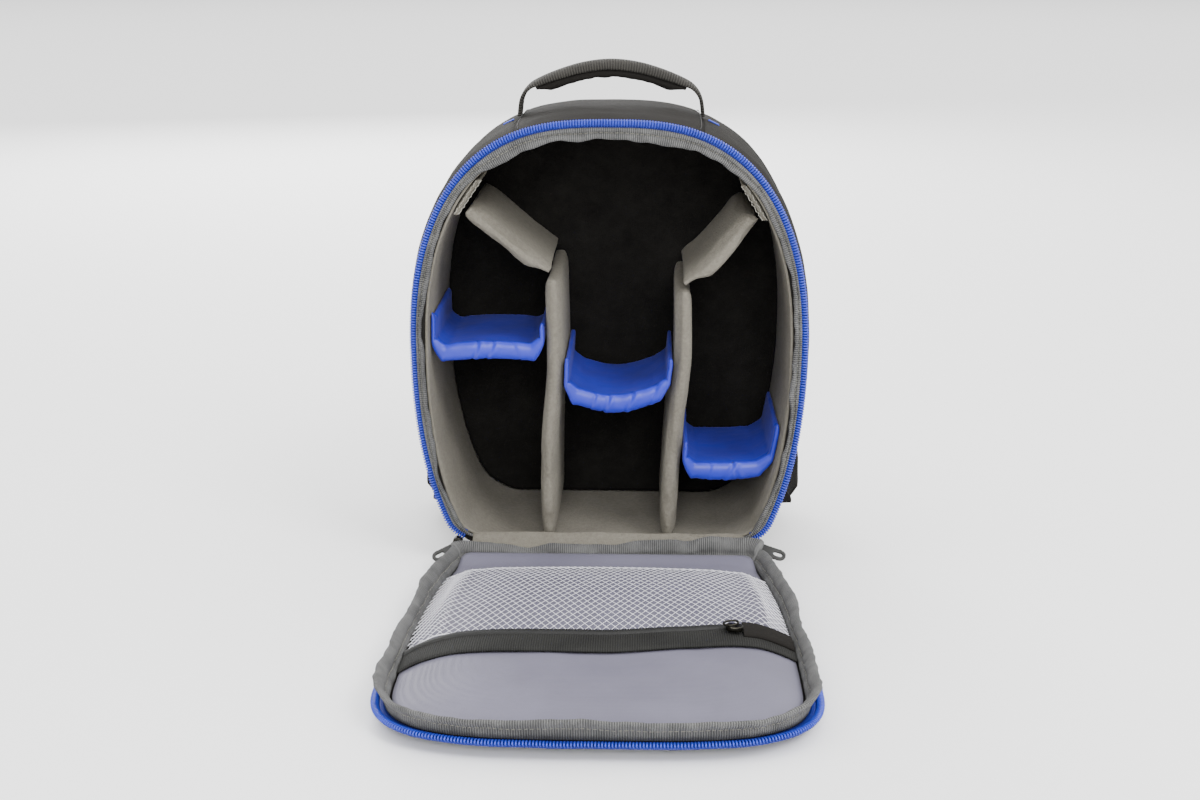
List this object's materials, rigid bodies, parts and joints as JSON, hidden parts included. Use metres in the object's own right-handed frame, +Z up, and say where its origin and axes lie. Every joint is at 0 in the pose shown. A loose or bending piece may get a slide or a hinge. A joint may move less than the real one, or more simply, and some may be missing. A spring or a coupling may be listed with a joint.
{
  "type": "small camera backpack, open, with its front flap folded down",
  "caption": "Soft padded backpack with an arched opening, padded compartments inside, and a zipped flap with a net pocket folded down in front.",
  "frame": {"origin": "middle of the shell's flat base, on the ground that the base and the folded flap rest on", "axes": "+Z up, -Y out of the opening towards the folded flap, +X to the right as seen from in front of the opening"},
  "size_m": [0.2932, 0.4951, 0.3532],
  "materials": {
    "outer_cloth": "brownish black woven polyester",
    "lining_cloth": "taupe grey brushed loop fabric",
    "shade_cloth": "charcoal brushed loop fabric",
    "smooth_cloth": "smooth lavender grey nylon",
    "binding_tape": "ribbed grey binding tape",
    "blue_cloth": "bright blue nylon, soft sheen",
    "blue_zip_tape": "blue woven zip tape",
    "blue_zip_coil": "blue nylon coil",
    "black_webbing": "ribbed black webbing",
    "black_zip": "black woven zip tape and coil",
    "white_net": "off-white knitted net",
    "black_plastic": "moulded olive black plastic",
    "dark_metal": "dark lacquered zinc"
  },
  "bodies": {
    "root": {"base_panel": "outer_cloth", "side_panel_right": "outer_cloth", "top_panel": "outer_cloth", "side_panel_left": "outer_cloth", "back_panel": "outer_cloth", "wall_lining": "lining_cloth", "back_lining": "shade_cloth", "opening_zip_tape": "blue_zip_tape", "opening_zip_coil": "blue_zip_coil", "opening_binding": "binding_tape", "flap_panel": "outer_cloth", "flap_lining": "smooth_cloth", "flap_binding": "binding_tape", "flap_zip_tape": "blue_zip_tape", "flap_zip_coil": "blue_zip_coil", "hinge_strip": "outer_cloth", "hinge_binding": "binding_tape", "net_pocket": "white_net", "pocket_zip_tape": "black_zip", "pocket_zip_coil": "black_zip", "pocket_zip_cover": "outer_cloth", "pocket_zip_slider": "dark_metal", "pocket_zip_ring": "dark_metal", "zip_slider_right": "dark_metal", "zip_pull_right": "black_plastic", "zip_slider_left": "dark_metal", "zip_pull_left": "black_plastic", "tall_divider_left": "lining_cloth", "tall_divider_right": "lining_cloth", "sloping_divider_left": "lining_cloth", "sloping_tab_left": "lining_cloth", "sloping_divider_right": "lining_cloth", "sloping_tab_right": "lining_cloth", "blue_shelf_left": "blue_cloth", "blue_shelf_middle": "blue_cloth", "blue_shelf_right": "blue_cloth", "handle_webbing": "black_webbing", "handle_grip": "outer_cloth", "shoulder_strap_left": "outer_cloth", "strap_adjuster_left": "black_plastic", "wing_tab_left": "outer_cloth", "strap_webbing_left": "black_webbing", "shoulder_strap_right": "outer_cloth", "strap_adjuster_right": "black_plastic", "wing_tab_right": "outer_cloth", "strap_webbing_right": "black_webbing"}
  },
  "joints": []
}
